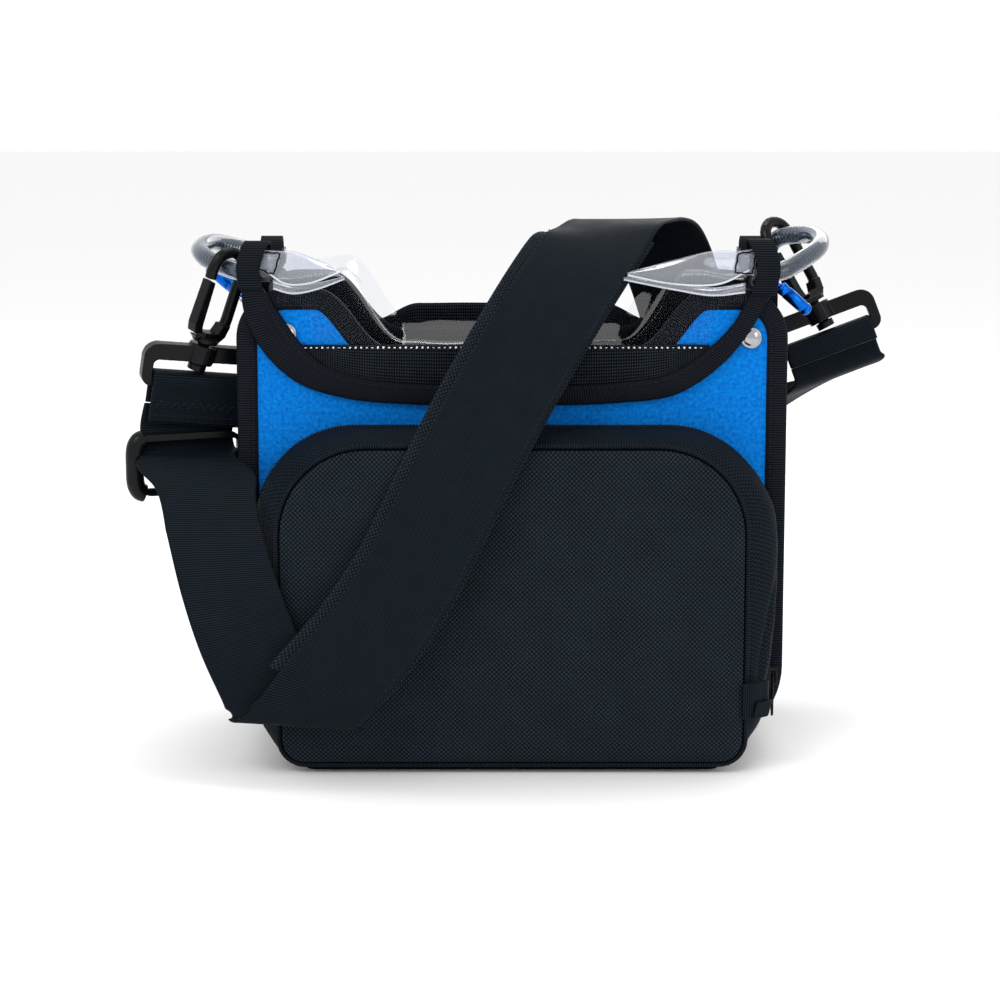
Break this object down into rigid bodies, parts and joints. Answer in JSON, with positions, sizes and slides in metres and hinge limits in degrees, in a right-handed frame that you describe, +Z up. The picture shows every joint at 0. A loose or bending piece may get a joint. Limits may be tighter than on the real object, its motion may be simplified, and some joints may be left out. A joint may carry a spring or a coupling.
{
  "type": "audio recorder shoulder bag",
  "caption": "Small black and blue shoulder bag for a portable audio recorder, with a clear sagging cover, padded front zip pocket, stiff side loops and a hooked webbing strap.",
  "frame": {"origin": "middle of the underside of the bag, on the base strip", "axes": "+Z up, -Y out of the front pocket, +X to the right as seen from the front"},
  "size_m": [0.4074, 0.2238, 0.2818],
  "materials": {
    "black_cordura": "coarse woven coated nylon, matt",
    "blue_felt": "brushed loop felt, mottled",
    "grosgrain": "ribbed binding ribbon",
    "webbing": "fine ribbed nylon webbing with a low sheen",
    "clear_vinyl": "clear flexible vinyl",
    "black_plastic": "moulded acetal, satin",
    "steel": "bright plated steel",
    "blue_aluminium": "blue anodised"
  },
  "bodies": {
    "bag": {"front_panel": "black_cordura", "front_felt": "blue_felt", "front_binding": "grosgrain", "rear_panel": "black_cordura", "rear_felt": "blue_felt", "rear_binding": "grosgrain", "left_side_wall": "black_cordura", "left_side_binding": "grosgrain", "right_side_wall": "black_cordura", "right_side_binding": "grosgrain", "lower_gusset": "black_cordura", "floor_board": "blue_felt", "base_skid": "webbing", "pocket_rear_tape": "black_cordura", "pocket_front_tape": "black_cordura", "pocket_zip_coil": "black_plastic", "pocket_hem": "black_cordura", "pocket_gusset": "black_cordura", "pocket_face": "black_cordura", "pocket_piping": "grosgrain", "pocket_tab": "webbing", "cover_front_band": "black_cordura", "cover_front_binding": "grosgrain", "cover_rear_band": "black_cordura", "cover_rear_binding": "grosgrain", "cover_window": "clear_vinyl", "front_left_keeper": "webbing", "front_right_keeper": "webbing", "rear_left_keeper": "webbing", "rear_right_keeper": "webbing", "left_cap": "steel", "right_cap": "steel", "left_loop_tube": "clear_vinyl", "left_loop_core": "steel", "right_loop_tube": "clear_vinyl", "right_loop_core": "steel", "left_strap_bar": "black_plastic", "right_strap_bar": "black_plastic", "left_tab": "webbing", "right_tab": "webbing", "strap_adjuster": "black_plastic", "strap_hanging": "webbing", "strap_diagonal": "webbing", "strap_crossing": "webbing", "strap_behind": "webbing", "strap_pad": "black_cordura", "left_side_rail": "webbing", "right_side_rail": "webbing", "left_ring_loop": "webbing", "right_ring_loop": "webbing"},
    "left_hook_body": {"left_hook": "black_plastic"},
    "left_gate_body": {"left_gate": "black_plastic"},
    "right_hook_body": {"right_hook": "black_plastic"},
    "right_gate_body": {"right_gate": "black_plastic"},
    "left_ring_body": {"left_ring": "steel"},
    "left_barrel_body": {"left_barrel": "blue_aluminium"},
    "right_ring_body": {"right_ring": "steel"},
    "right_barrel_body": {"right_barrel": "blue_aluminium"},
    "zip_slider_body": {"zip_slider": "black_plastic"},
    "zip_pull_body": {"zip_pull": "black_plastic"}
  },
  "joints": [
    {"name": "left_hook_swivel", "type": "hinge", "parent": "bag", "child": "left_hook_body", "pos_m": [-0.164, -0.04, 0.2135], "axis": [0.323, -0.0663, 0.9441], "range_deg": [-14, 14]},
    {"name": "left_gate_hinge", "type": "hinge", "parent": "left_hook_body", "child": "left_gate_body", "pos_m": [-0.16583, -0.04674, 0.227], "axis": [-0.6438, 0.7158, 0.2705], "range_deg": [0, 20], "stiffness_Nm_per_rad": 0.03, "springref_deg": -5.73},
    {"name": "right_hook_swivel", "type": "hinge", "parent": "bag", "child": "right_hook_body", "pos_m": [0.1702, 0.0374, 0.2265], "axis": [-0.4794, 0.1266, 0.8684], "range_deg": [-14, 14]},
    {"name": "right_gate_hinge", "type": "hinge", "parent": "right_hook_body", "child": "right_gate_body", "pos_m": [0.15871, 0.03282, 0.23533], "axis": [-0.5992, 0.6757, -0.4294], "range_deg": [0, 20], "stiffness_Nm_per_rad": 0.03, "springref_deg": -5.73},
    {"name": "left_ring_swing", "type": "hinge", "parent": "bag", "child": "left_ring_body", "pos_m": [-0.13621, -0.02618, 0.23719], "axis": [0.5284, 0.8472, 0.0553], "range_deg": [-8, 8]},
    {"name": "left_barrel_swing", "type": "hinge", "parent": "left_ring_body", "child": "left_barrel_body", "pos_m": [-0.14379, -0.02182, 0.24281], "axis": [0.5284, 0.8472, 0.0553], "range_deg": [-10, 10]},
    {"name": "right_ring_swing", "type": "hinge", "parent": "bag", "child": "right_ring_body", "pos_m": [0.13359, -0.00752, 0.25439], "axis": [0.2644, 0.8596, 0.4373], "range_deg": [-8, 8]},
    {"name": "right_barrel_swing", "type": "hinge", "parent": "right_ring_body", "child": "right_barrel_body", "pos_m": [0.14141, -0.00648, 0.24761], "axis": [0.2644, 0.8596, 0.4373], "range_deg": [-10, 10]},
    {"name": "zip_slide", "type": "slide", "parent": "bag", "child": "zip_slider_body", "axis": [0, 0, 1], "range_m": [0, 0.072]},
    {"name": "zip_pull_hinge", "type": "hinge", "parent": "zip_slider_body", "child": "zip_pull_body", "pos_m": [0.1381, -0.062, 0.044], "axis": [0, -1, 0], "range_deg": [0, 170]}
  ]
}
